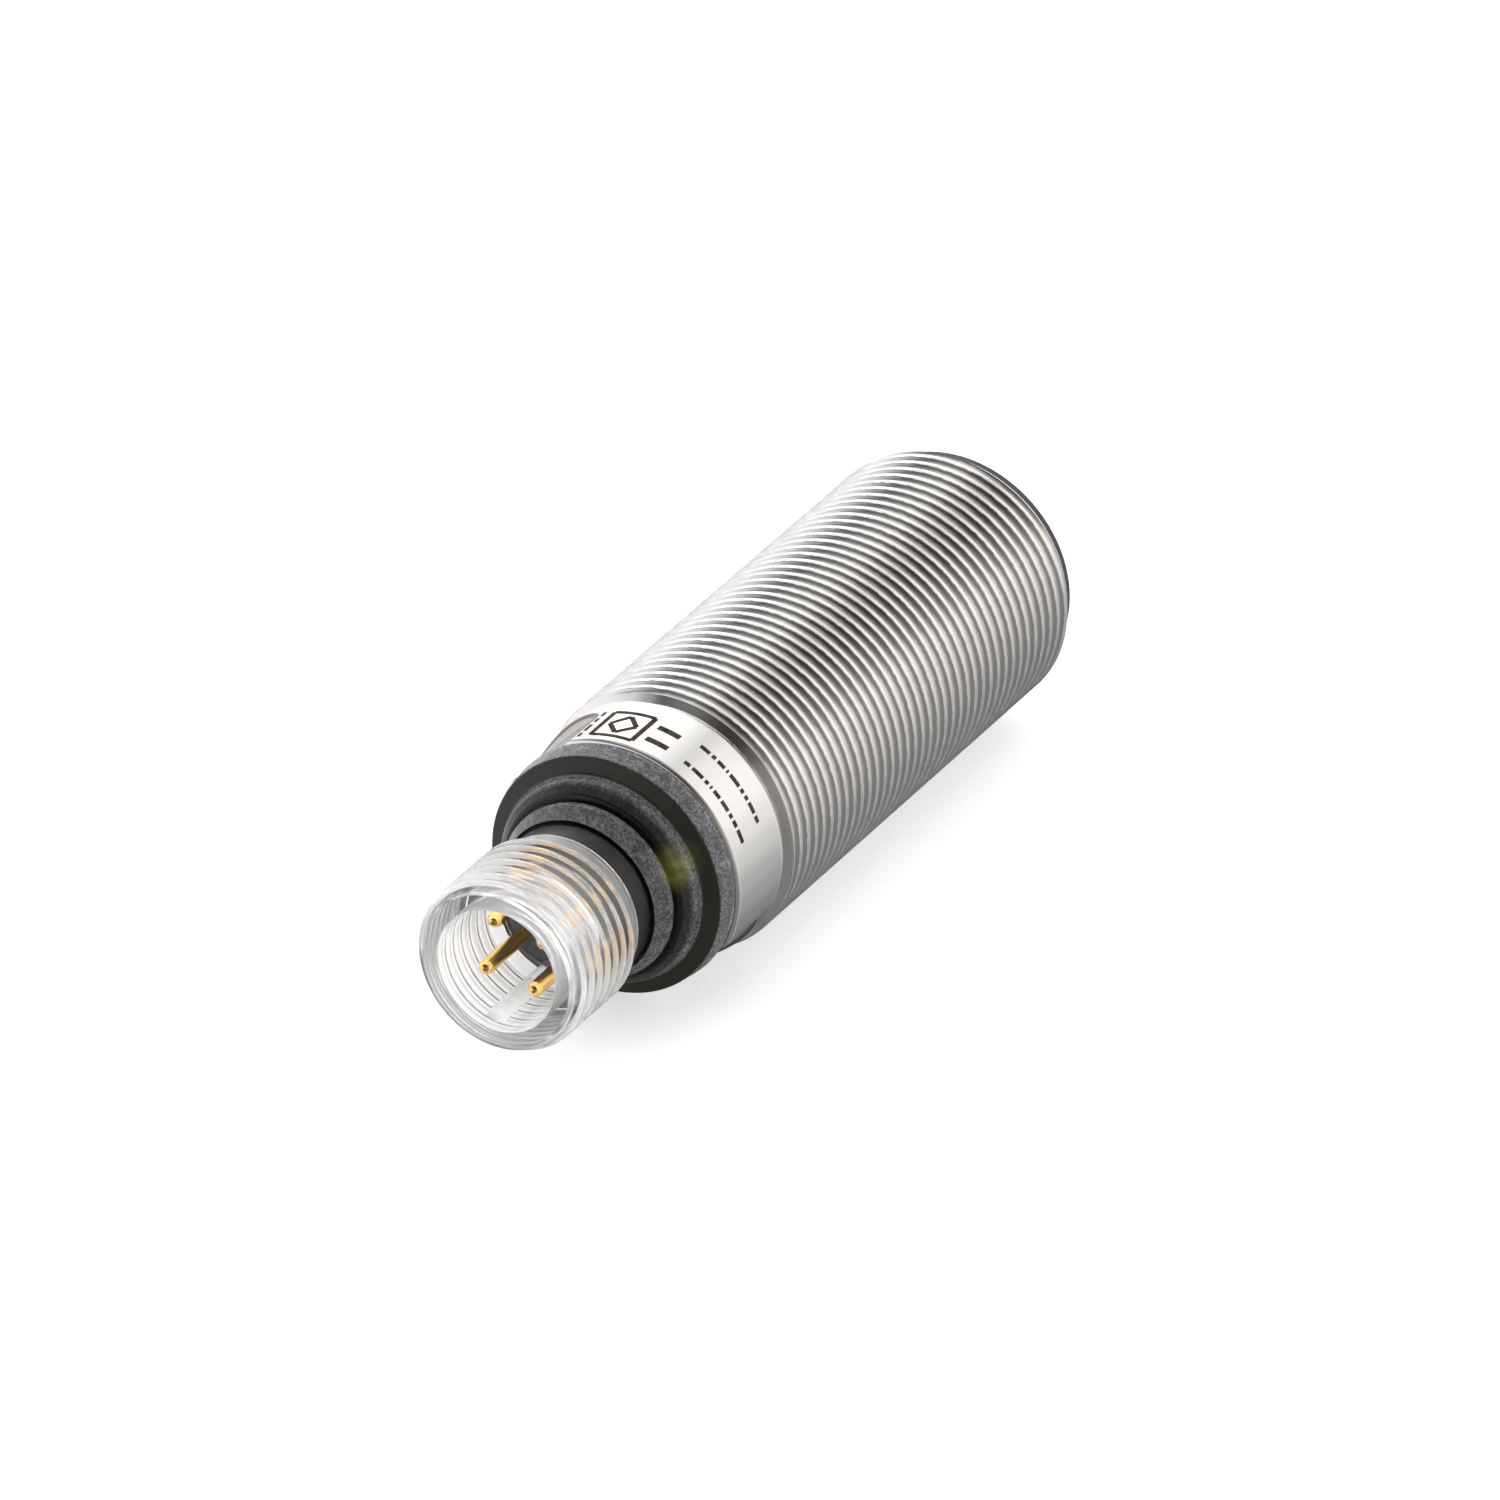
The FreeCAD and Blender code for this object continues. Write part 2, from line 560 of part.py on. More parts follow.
def o_ring(name, station, centre_radius, thickness_radius):
    """An O-ring about the axis."""
    ring = doc.addObject("Part::Torus", name)
    ring.setExpression("Radius1", sized(centre_radius))
    ring.setExpression("Radius2", sized(thickness_radius))
    ring.Placement = FreeCAD.Placement(FreeCAD.Vector(), TURN_TO_AXIS)
    ring.Label = name
    ring.setExpression("Placement.Base.x", sized("%s - overall_length" % station))
    subparts.append(ring)


o_ring("housing_o_ring", "seal_station", "barrel_bore - seal_radius - seal_gap", "seal_radius")
o_ring("plug_seal_ring", "stem_seal_station", "plug_stem + stem_seal_radius + seal_gap", "stem_seal_radius")

# LED board and its four LEDs.
at_station(tube("led_board", "led_board_start", "led_board_start + led_board_thickness",
                "led_board_inner", "led_board_outer"), "led_board")
led_corners = [
    ("led_board_start - led_height", "led_centre - led_depth / 2"),
    ("led_board_start", "led_centre - led_depth / 2"),
    ("led_board_start", "led_centre + led_depth / 2"),
    ("led_board_start - led_height", "led_centre + led_depth / 2"),
]
led_solids = []
for index in range(LED_COUNT):
    led = new_body("led_%d" % index)
    led_pad = led.newObject("PartDesign::Pad", "led_pad_%d" % index)
    led_pad.Profile = outline(led, "led_outline_%d" % index, led_corners, "led_turn + %d" % (QUARTER * index))
    led_pad.Midplane = True
    led_pad.setExpression("Length", sized("led_width"))
    doc.recompute()
    led_solids.append(led)
led_group = doc.addObject("Part::Compound", "led_group")
led_group.Links = led_solids
at_station(led_group, "indicator_leds")

# Insulating sleeve, shield ring, ferrite core, bobbin and coil.
at_station(tube("insulating_sleeve", "sleeve_start", "sleeve_end", "sleeve_inner", "sleeve_outer"),
           "insulating_sleeve")
at_station(tube("shield_ring", "shield_start", "core_end", "shield_inner", "shield_outer"), "shield_ring")
lead_centres = [("coil_lead_side * %d" % side, "coil_lead_height") for side in (-1, 1)]


def lead_holes(body, name, start, length):
    """Two holes along the axis for the coil leads."""
    sketch = circles(body, name + "_circles", lead_centres, "coil_lead_radius + slip")
    along_axis(body, "PartDesign::Pocket", name, sketch, start, length)


core = revolved("ferrite_core", [
    ("core_start", "core_hole"),
    ("core_start", "core_radius"),
    ("core_end", "core_radius"),
    ("core_end", "core_wall_inner"),
    ("core_base_end", "core_wall_inner"),
    ("core_base_end", "core_post"),
    ("core_end", "core_post"),
    ("core_end", "core_hole"),
])
lead_holes(core, "core_lead_holes", "core_start - cut_margin",
           "core_base_end - core_start + 1.5 * cut_margin")
at_station(core, "ferrite_core")
bobbin = revolved("coil_bobbin", [
    ("bobbin_start", "bobbin_inner"),
    ("bobbin_start", "bobbin_outer"),
    ("bobbin_start + bobbin_flange", "bobbin_outer"),
    ("bobbin_start + bobbin_flange", "bobbin_tube"),
    ("bobbin_end - bobbin_flange", "bobbin_tube"),
    ("bobbin_end - bobbin_flange", "bobbin_outer"),
    ("bobbin_end", "bobbin_outer"),
    ("bobbin_end", "bobbin_inner"),
])
lead_holes(bobbin, "bobbin_lead_holes", "bobbin_start - cut_margin", "bobbin_flange + 1.5 * cut_margin")
at_station(bobbin, "coil_bobbin")
winding_start = "bobbin_start + bobbin_flange + slip"
at_station(tube("coil_winding", winding_start, "bobbin_end - bobbin_flange - slip",
                "bobbin_tube + slip", "winding_outer"), "coil_winding")

# Core holder: disc with a spigot for the core, a slot for the board and two lead holes.
holder = revolved("core_holder", [
    ("holder_start", "0"),
    ("holder_start", "holder_radius"),
    ("holder_end", "holder_radius"),
    ("holder_end", "core_radius"),
    ("core_start - slip", "core_radius"),
    ("core_start - slip", "holder_spigot"),
    ("holder_spigot_end", "holder_spigot"),
    ("holder_spigot_end", "0"),
])
lead_holes(holder, "holder_lead_holes", "holder_start - cut_margin",
           "core_start - holder_start + 1.5 * cut_margin")
slot = outline(holder, "slot_outline", [
    ("holder_start - cut_margin", "-board_width / 2 - slip"),
    ("holder_start - cut_margin", "board_width / 2 + slip"),
    ("holder_start + slot_depth", "board_width / 2 + slip"),
    ("holder_start + slot_depth", "-board_width / 2 - slip"),
])
slot_cut = holder.newObject("PartDesign::Pocket", "board_slot")
slot_cut.Profile = slot
slot_cut.Midplane = True
slot_cut.setExpression("Length", sized("board_thickness + 2 * slip"))
holder.Tip = slot_cut
doc.recompute()
at_station(holder, "core_holder")

# Circuit board and the parts on it. Stations are counted from the board's front end.
BOARD_TOP = "board_thickness / 2"
CHIP = {"station": 17.5, "across": 0.0, "length": 5.0, "width": 5.0, "height": 0.9}
CHIP_LANDS = {"stations": (17.3, 22.5), "count": 5, "pitch": 0.9}
CHIP_LAND = {"length": 0.2, "width": 0.35, "height": 0.2}
TRANSISTOR = {"station": 6.5, "across": 0.0, "length": 3.5, "width": 6.5, "height": 1.6}
TRANSISTOR_TAB = {"station": 10.0, "across": 0.0, "length": 1.5, "width": 3.0, "height": 0.3}
TRANSISTOR_LEAD = {"station": 5.0, "length": 1.5, "width": 0.7, "height": 0.3}
TRANSISTOR_LEADS_ACROSS = (-2.3, 0.0, 2.3)
DIODE = {"length": 4.3, "width": 2.6, "height": 2.2, "side": -1}
DIODE_PLACES = [(6.0, -3.2), (6.0, 3.2)]
CAPACITOR = {"length": 1.25, "width": 2.0, "height": 1.2}
CAPACITOR_PLACES = [(13.0, -4.2), (13.0, 4.2), (15.2, -4.2), (24.5, 3.6), (26.8, -1.0)]
RESISTOR = {"length": 1.6, "width": 0.8, "height": 0.45}
RESISTOR_PLACES = [(13.2, -1.6), (13.2, 0.0), (13.2, 1.6), (24.5, -4.0), (24.5, -2.4), (24.5, 0.6)]


def on_board(name, station, across, length, width, height, side=1):
    """A box that sits on the board's top (1) or bottom (-1) face."""
    upward = "%d * (%s + (%s) / 2)" % (side, BOARD_TOP, height)
    return box(name, "board_start + %s" % station, str(across), upward, str(length), str(width), str(height))


def row_of(name, places, sizes):
    """Equal boxes on the board at (station, across) places."""
    return [on_board("%s_%d" % (name, number), station, across, **sizes)
            for number, (station, across) in enumerate(places)]


def fused(name, members):
    """Touching solids joined into one."""
    fuse = doc.addObject("Part::MultiFuse", name)
    fuse.Shapes = members
    doc.recompute()
    return fuse


def group(name, members):
    """Several separate solids as one sub-part."""
    compound = doc.addObject("Part::Compound", name + "_group")
    compound.Links = members
    doc.recompute()
    return at_station(compound, name)


board = box("board_plate", "board_start", "0", "0", "board_length", "board_width", "board_thickness")
land_middle = (CHIP_LANDS["count"] - 1) / 2
land_places = [(station, CHIP_LANDS["pitch"] * (number - land_middle))
               for station in CHIP_LANDS["stations"] for number in range(CHIP_LANDS["count"])]
chip = fused("chip_fuse", [on_board("chip_body", **CHIP)] + row_of("chip_land", land_places, CHIP_LAND))
transistor_leads = [on_board("transistor_lead_%d" % number, across=across, **TRANSISTOR_LEAD)
                    for number, across in enumerate(TRANSISTOR_LEADS_ACROSS)]
transistor = fused("transistor_fuse", [
    on_board("transistor_body", **TRANSISTOR),
    on_board("transistor_tab", **TRANSISTOR_TAB),
] + transistor_leads)
diodes = row_of("diode", DIODE_PLACES, DIODE)
capacitors = row_of("capacitor", CAPACITOR_PLACES, CAPACITOR)
resistors = row_of("resistor", RESISTOR_PLACES, RESISTOR)


def on_board_height(radius):
    """The height of a wire's centre line where it lies on the board."""
    return value("%s + %s + slip" % (BOARD_TOP, radius))


# Wires: pins to board, LED board to board, coil to board.
pin_routes = []
for pin_y, pin_z in pin_centres:
    pin_place = (value(pin_y), value(pin_z))
    upper_or_lower = math.copysign(1, pin_place[1])
    left_or_right = math.copysign(1, pin_place[0])
    pad_place = (left_or_right * value("pin_pad_side"), upper_or_lower * on_board_height("pin_lead_radius"))
    pin_routes.append([
        (value("pin_tail_end"),) + pin_place,
        (value("pin_tail_end + pin_lead_straight"),) + pin_place,
        (value("board_start + pin_pad_start"),) + pad_place,
        (value("board_start + pin_pad_start + pad_length"),) + pad_place,
    ])
pin_leads = bent_leads("pin_wires", pin_routes, "pin_lead_radius")
led_routes = []
for side in (-1, 1):
    led_y = side * value("led_centre")
    led_pad_place = (side * value("led_pad_side"), on_board_height("led_lead_radius"))
    led_routes.append([
        (value("led_board_start + led_board_thickness"), led_y, 0.0),
        (value("led_lead_bend_start"), led_y, 0.0),
        (value("led_lead_bend_end"),) + led_pad_place,
        (value("led_lead_bend_end + pad_length"),) + led_pad_place,
    ])
led_leads = bent_leads("led_wires", led_routes, "led_lead_radius")
coil_routes = []
for side in (-1, 1):
    lead_y = side * value("coil_lead_side")
    coil_routes.append([
        (value(winding_start), lead_y, value("coil_lead_height")),
        (value("coil_lead_bend_start"), lead_y, value("coil_lead_height")),
        (value("coil_lead_bend_end"), lead_y, on_board_height("coil_lead_radius")),
        (value("coil_lead_bend_end - pad_length"), lead_y, on_board_height("coil_lead_radius")),
    ])
coil_leads = bent_leads("coil_wires", coil_routes, "coil_lead_radius")

# Potting: resin that fills the sleeve round the board, its parts and the wires.
resin = doc.addObject("Part::Cylinder", "resin_block")
resin.setExpression("Radius", sized("sleeve_inner - slip"))
resin.setExpression("Height", sized("holder_start - sleeve_start - slip"))
resin.Placement = FreeCAD.Placement(FreeCAD.Vector(), TURN_TO_AXIS)
resin.setExpression("Placement.Base.x", sized("sleeve_start"))
embedded = fused("embedded_pieces", [board, chip, transistor, pin_leads, led_leads, coil_leads]
                 + diodes + capacitors + resistors)
potting = doc.addObject("Part::Cut", "potting_compound")
potting.Base = resin
potting.Tool = embedded
doc.recompute()
at_station(potting, "potting_compound")
group("circuit_board", [board])
group("control_chip", [chip])
group("output_transistor", [transistor])
group("protection_diodes", diodes)
group("smd_capacitors", capacitors)
group("smd_resistors", resistors)
group("pin_leads", [pin_leads])
group("led_leads", [led_leads])
group("coil_leads", [coil_leads])

doc.recompute()
for item in doc.Objects:
    if "Invalid" in item.State or "Error" in item.State:
        raise RuntimeError("%s did not build: %s" % (item.Name, item.State))
for item in subparts:
    if item.Shape.isNull() or not item.Shape.isValid():
        raise RuntimeError("%s has no valid shape" % item.Label)

os.makedirs("parts", exist_ok=True)
for item in subparts:
    item.Shape.exportStep("parts/%s.step" % item.Label)
    box_size = item.Shape.optimalBoundingBox()
    print("%-20s %2d solids %9.2f mm3  x %.2f to %.2f" % (
        item.Label, len(item.Shape.Solids), item.Shape.Volume, box_size.XMin, box_size.XMax))
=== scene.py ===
import json
import math

import bpy
from mathutils import Matrix, Vector


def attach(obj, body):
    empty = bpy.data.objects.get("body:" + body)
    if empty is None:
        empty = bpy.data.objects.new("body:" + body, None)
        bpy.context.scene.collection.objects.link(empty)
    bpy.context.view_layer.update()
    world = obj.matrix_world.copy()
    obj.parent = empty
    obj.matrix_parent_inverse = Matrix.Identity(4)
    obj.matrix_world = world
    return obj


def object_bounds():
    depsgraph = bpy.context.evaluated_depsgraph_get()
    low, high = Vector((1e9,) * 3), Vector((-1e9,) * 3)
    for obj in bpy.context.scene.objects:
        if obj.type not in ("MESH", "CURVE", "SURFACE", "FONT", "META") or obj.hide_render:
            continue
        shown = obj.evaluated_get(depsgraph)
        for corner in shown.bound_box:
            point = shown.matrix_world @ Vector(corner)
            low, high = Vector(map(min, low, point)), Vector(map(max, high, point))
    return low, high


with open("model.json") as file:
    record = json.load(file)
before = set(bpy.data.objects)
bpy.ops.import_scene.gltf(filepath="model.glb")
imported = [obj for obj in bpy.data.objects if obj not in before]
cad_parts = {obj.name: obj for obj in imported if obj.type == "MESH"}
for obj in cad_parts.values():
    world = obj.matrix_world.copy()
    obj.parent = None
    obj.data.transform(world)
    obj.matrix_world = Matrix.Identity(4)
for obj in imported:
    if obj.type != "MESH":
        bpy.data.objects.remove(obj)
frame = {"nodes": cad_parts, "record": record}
cad_low, cad_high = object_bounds()
nodes = frame["nodes"]
MM = 0.001


# ---------------------------------------------------------------- materials
SOCKETS = {"metallic": "Metallic", "roughness": "Roughness", "ior": "IOR", "specular": "Specular IOR Level",
           "transmission": "Transmission Weight", "coat": "Coat Weight", "coat_roughness": "Coat Roughness",
           "subsurface": "Subsurface Weight", "emission_strength": "Emission Strength"}


class Surface:
    """A node material in millimetre coordinates of the row frame."""

    def __init__(self, name, **settings):
        self.material = bpy.data.materials.new(name)
        self.material.use_nodes = True
        self.tree = self.material.node_tree
        self.shader = self.tree.nodes["Principled BSDF"]
        self.normal = None
        for key, level in settings.items():
            self.shader.inputs[SOCKETS[key]].default_value = level
        place = self.node("ShaderNodeTexCoord").outputs["Object"]
        self.mm = self.vector("SCALE", place, Scale=1 / MM)
        self.across = self.vector("MULTIPLY", self.mm, (0, 1, 1))

    def node(self, kind, **values):
        made = self.tree.nodes.new(kind)
        for key, item in values.items():
            setattr(made, key, item)
        return made

    def feed(self, target, source):
        """Links a socket into a target, or sets the target to a plain value."""
        if isinstance(source, bpy.types.NodeSocket):
            self.tree.links.new(source, target)
        else:
            target.default_value = source

    def vector(self, operation, *sources, **named):
        made = self.node("ShaderNodeVectorMath", operation=operation)
        for target, source in zip(made.inputs, sources):
            self.feed(target, source)
        for key, source in named.items():
            self.feed(made.inputs[key], source)
        return made.outputs["Value" if operation in ("LENGTH", "DISTANCE") else "Vector"]

    def math(self, operation, *sources):
        made = self.node("ShaderNodeMath", operation=operation)
        for target, source in zip(made.inputs, sources):
            self.feed(target, source)
        return made.outputs[0]

    def axis(self, letter):
        split = self.node("ShaderNodeSeparateXYZ")
        self.feed(split.inputs[0], self.mm)
        return split.outputs[letter]

    def radius(self):
        """Distance from the barrel's axis."""
        return self.vector("LENGTH", self.across)

    def facing(self):
        """The parts of the surface's normal."""
        split = self.node("ShaderNodeSeparateXYZ")
        self.feed(split.inputs[0], self.node("ShaderNodeNewGeometry").outputs["Normal"])
        return split.outputs

    def band(self, source, low, low_full, high_full, high):
        """One between the two inner limits and zero outside the outer ones."""
        return self.math("MULTIPLY", self.ramp(source, low, low_full), self.ramp(source, high, high_full))

    def ramp(self, source, low, high, to_low=0.0, to_high=1.0):
        made = self.node("ShaderNodeMapRange", interpolation_type="SMOOTHSTEP")
        for key, level in (("From Min", low), ("From Max", high), ("To Min", to_low), ("To Max", to_high)):
            made.inputs[key].default_value = level
        self.feed(made.inputs["Value"], source)
        return made.outputs["Result"]

    def noise(self, scale, detail=2.0, stretch=(1, 1, 1)):
        made = self.node("ShaderNodeTexNoise")
        made.inputs["Scale"].default_value = scale
        made.inputs["Detail"].default_value = detail
        self.feed(made.inputs["Vector"], self.vector("MULTIPLY", self.mm, stretch))
        return made.outputs["Fac"]

    def cells(self, size, feature="F1", output="Distance"):
        """A cell pattern with cells of about that size."""
        made = self.node("ShaderNodeTexVoronoi", feature=feature)
        made.inputs["Scale"].default_value = 1 / size
        self.feed(made.inputs["Vector"], self.mm)
        return made.outputs[output]

    def rings(self, period):
        """A wave along the barrel's axis, from -1 to 1."""
        return self.math("SINE", self.math("MULTIPLY", self.axis("X"), 2 * math.pi / period))

    def mix(self, factor, first, second):
        made = self.node("ShaderNodeMix", data_type="RGBA")
        colours = [socket for socket in made.inputs if socket.type == "RGBA"]
        self.feed(made.inputs["Factor"], factor)
        for target, source in zip(colours, (first, second)):
            self.feed(target, source + (1,) if isinstance(source, tuple) else source)
        return [socket for socket in made.outputs if socket.type == "RGBA"][0]

    def colour(self, source):
        self.feed(self.shader.inputs["Base Color"], source)

    def rough(self, source):
        self.feed(self.shader.inputs["Roughness"], source)

    def glow(self, source):
        self.feed(self.shader.inputs["Emission Color"], source)

    def bump(self, source, depth):
        """Relief of that depth in millimetres, on top of what is there already."""
        made = self.node("ShaderNodeBump")
        made.inputs["Distance"].default_value = depth * MM
        self.feed(made.inputs["Height"], source)
        if self.normal is not None:
            self.feed(made.inputs["Normal"], self.normal)
        self.normal = made.outputs["Normal"]
        self.feed(self.shader.inputs["Normal"], self.normal)

    def round_thread(self, crest, root, ends, groove=None):
        """Softens a thread's crests and roots, which are rounded on the object."""
        facing = self.node("ShaderNodeNewGeometry").outputs["Normal"]
        outward = self.vector("NORMALIZE", self.across)
        uneven = self.math("MULTIPLY", self.math("SUBTRACT", self.noise(2.2, 3), 0.5), 0.10)
        radius = self.math("ADD", self.radius(), uneven)
        depth = crest - root
        near_crest = self.ramp(radius, crest - 0.25 * depth, crest - 0.05 * depth, 0.0, CREST_PULL)
        near_root = self.ramp(radius, crest - 0.36 * depth, crest - 0.82 * depth, 0.0, ROOT_PULL)
        along = self.axis("X")
        within = self.math("MULTIPLY", self.ramp(along, ends[0] - 0.2, ends[0]),
                           self.ramp(along, ends[1] + 0.2, ends[1]))
        pull = self.math("MULTIPLY", self.math("ADD", near_crest, near_root), within)
        leaning = self.vector("ADD", facing, self.vector("SCALE", outward, Scale=pull))
        if groove is not None:
            floor_of_groove = self.math("MULTIPLY", self.ramp(along, groove[0], groove[0] + 0.1),
                                        self.ramp(along, groove[1], groove[1] - 0.1))
            slope = self.vector("SCALE", (-0.3, 0.0, 0.0), Scale=floor_of_groove)
            leaning = self.vector("ADD", leaning, slope)
        self.normal = self.vector("NORMALIZE", leaning)


CREST_PULL = 3.0
ROOT_PULL = 1.5


def assign(piece, surface):
    piece.data.materials.clear()
    piece.data.materials.append(surface.material)


def plain(name, first, second, roughness, grain=1.0, relief=0.01, **settings):
    """A moulded, cast or fired surface: two mottled tones, uneven gloss and a fine grain."""
    made = Surface(name, **settings)
    made.colour(made.mix(made.ramp(made.noise(grain, 4), 0.35, 0.65), first, second))
    made.rough(made.ramp(made.noise(3 * grain, 3), 0.3, 0.7, *roughness))
    made.bump(made.noise(8 * grain, 3), relief)
    return made


def metal(name, first, second, roughness, period, relief):
    """A turned metal with fine tool rings."""
    made = Surface(name, metallic=1.0)
    made.colour(made.mix(made.noise(1.5, 3), first, second))
    made.rough(made.ramp(made.noise(2.5, 3), 0.3, 0.7, *roughness))
    made.bump(made.rings(period), relief)
    return made


# Radii and stations below are millimetres of the row frame.
nickel = Surface("nickel_plate", metallic=1.0)
plated = nickel.mix(nickel.noise(0.35, 3), (0.80, 0.79, 0.775), (0.86, 0.85, 0.835))
on_flats = nickel.math("MULTIPLY", nickel.ramp(nickel.axis("X"), -39.2, -39.3),
                       nickel.ramp(nickel.axis("X"), -44.25, -44.15))
# Painted shade: the wrench flats are coloured darker grey, and darker still near their edges and run-outs, standing
# in for the shade on them. The flats are also rougher.
flat_shade_and_gloss = nickel.math("MULTIPLY", nickel.ramp(nickel.radius(), 8.58, 8.55), on_flats)
flat_edge_shade = nickel.math("MULTIPLY", nickel.ramp(nickel.radius(), 8.36, 8.42), flat_shade_and_gloss)
flat_shade_colour = nickel.mix(flat_edge_shade, (0.46, 0.44, 0.43), (0.20, 0.185, 0.18))
nickel.colour(nickel.mix(flat_shade_and_gloss, plated, flat_shade_colour))
polish = nickel.ramp(nickel.noise(1.2, 3), 0.3, 0.7, 0.06, 0.11)
nickel.rough(nickel.math("ADD", polish, nickel.math("MULTIPLY", flat_shade_and_gloss, 0.12)))
nickel.round_thread(8.95, 8.34, (-37.95, -0.8), (-39.15, -37.95))
nickel.bump(nickel.noise(2.0, 2, (12, 1, 1)), 0.002)

# The plug: painted shade on the thread flanks, a painted brownish reflection on the last threads, a frosted key rib
# and a finely ground outside.
clear = Surface("clear_plastic", transmission=0.84, ior=1.33, coat=1.0, coat_roughness=0.04)
facing = clear.facing()
# Painted shade: thread flanks that face the plug's front are coloured darker grey.
flank_painted_shade = clear.math("MULTIPLY", clear.band(clear.radius(), 5.38, 5.46, 5.58, 5.66),
                   clear.ramp(facing["X"], -0.3, -0.6, 0.0, 0.7))
# Painted reflection: the last threads next to the ring are tinted brown, standing in for the dark ring seen in them.
last_threads_painted_reflection = clear.math("MULTIPLY", clear.ramp(clear.axis("X"), -56.2, -54.6),
                  clear.band(clear.radius(), 5.3, 5.38, 5.70, 5.84))
last_threads_painted_reflection = clear.math("MULTIPLY", last_threads_painted_reflection, clear.ramp(clear.axis("X"), -52.75, -52.9, 0.0, 0.6))
pale = clear.mix(clear.noise(0.5, 2), (0.94, 0.945, 0.955), (0.98, 0.985, 0.99))
pale = clear.mix(flank_painted_shade, pale, (0.42, 0.42, 0.44))
clear.colour(clear.mix(last_threads_painted_reflection, pale, (0.46, 0.42, 0.36)))
rib = clear.ramp(clear.radius(), 4.14, 4.08)
clear.rough(clear.math("MAXIMUM", clear.ramp(clear.radius(), 5.0, 5.4, 0.03, 0.22),
                       clear.math("MULTIPLY", rib, 0.38)))
clear.bump(clear.noise(1.5, 2, (4, 1, 1)), 0.004)

# The light ring: dark gloss on its front faces, a faint painted glow of light through its outer front faces, light
# flecks on the turned faces that are a scuff and also painted glints, and one LED that shines through.
smoked = Surface("smoked_plastic", ior=1.38, emission_strength=1.0)
facing = smoked.facing()
turned_side = smoked.ramp(facing["X"], -0.85, -0.35)
beyond_stem = smoked.ramp(smoked.radius(), 5.24, 5.4, 0.0, 0.42)
on_rim = smoked.ramp(smoked.radius(), 8.08, 8.14, 0.0, 0.55)
back_edge = smoked.ramp(smoked.axis("X"), -44.85, -44.75, 0.0, 0.95)
# Light flecks on the turned faces: a scuffed, flecked texture that also stands in for sparkling highlights, so
# partly painted glints.
scuff_and_glint = smoked.math("MAXIMUM", beyond_stem, smoked.math("MAXIMUM", on_rim, back_edge))
flecks = smoked.ramp(smoked.cells(0.13, output="Color"), 0.2, 1.0, 0.36, 1.20)
patches = smoked.ramp(smoked.noise(0.9, 3), 0.30, 0.65, 0.6, 1.0)
shown = smoked.math("MULTIPLY", smoked.math("MULTIPLY", scuff_and_glint, turned_side),
                    smoked.math("MULTIPLY", flecks, patches))
# Painted light: the outer front faces are a lighter olive, standing in for light coming through the plastic.
painted_through_light = smoked.math("MULTIPLY", smoked.ramp(facing["X"], -0.35, -0.85),
                   smoked.ramp(smoked.radius(), 6.6, 7.2, 0.0, 0.12))
deep = smoked.mix(smoked.ramp(smoked.radius(), 5.24, 5.4), (0.0045, 0.0040, 0.0070), (0.0075, 0.0080, 0.0060))
deep = smoked.mix(painted_through_light, deep, (0.105, 0.100, 0.082))
smoked.colour(smoked.mix(shown, deep, (0.36, 0.36, 0.40)))
smoked.rough(smoked.ramp(smoked.noise(2.0, 3), 0.3, 0.7, 0.16, 0.26))
smoked.bump(smoked.math("MULTIPLY", smoked.cells(0.14), turned_side), 0.005)
LAMP = (-47.54, -5.89, 2.89)
LAMP_REACH = 2.0
lamp_near = smoked.ramp(smoked.vector("DISTANCE", smoked.mm, LAMP), LAMP_REACH, 0.0)
lamp_patch = smoked.math("MULTIPLY", lamp_near, smoked.ramp(smoked.noise(1.1, 2), 0.35, 0.65, 0.45, 1.0))
smoked.glow(smoked.mix(lamp_patch, (0.0, 0.0, 0.0), (0.115, 0.120, 0.018)))

gold = Surface("gold_plate", metallic=1.0)
gold.colour(gold.mix(gold.noise(1.0, 3), (0.93, 0.56, 0.17), (0.96, 0.67, 0.27)))
gold.rough(gold.ramp(gold.noise(3.0, 3), 0.3, 0.7, 0.04, 0.10))
gold.bump(gold.rings(0.15), 0.002)

board = Surface("board_laminate", roughness=0.4)
tracks = board.ramp(board.cells(1.3, "DISTANCE_TO_EDGE"), 0.05, 0.09)
board.colour(board.mix(tracks, (0.10, 0.30, 0.13), (0.025, 0.15, 0.06)))
board.rough(board.ramp(board.noise(3.0, 3), 0.3, 0.7, 0.3, 0.45))
board.bump(tracks, -0.03)

copper = metal("copper", (0.72, 0.30, 0.13), (0.82, 0.40, 0.20), (0.2, 0.35), 0.16, 0.03)

lens_resin = plain("led_resin", (0.45, 0.68, 0.05), (0.62, 0.85, 0.12), (0.1, 0.2), 2.0, 0.005,
                   transmission=0.4, emission_strength=0.4)
lens_resin.glow(lens_resin.mix(lens_resin.noise(2.0), (0.4, 0.7, 0.02), (0.6, 0.9, 0.08)))

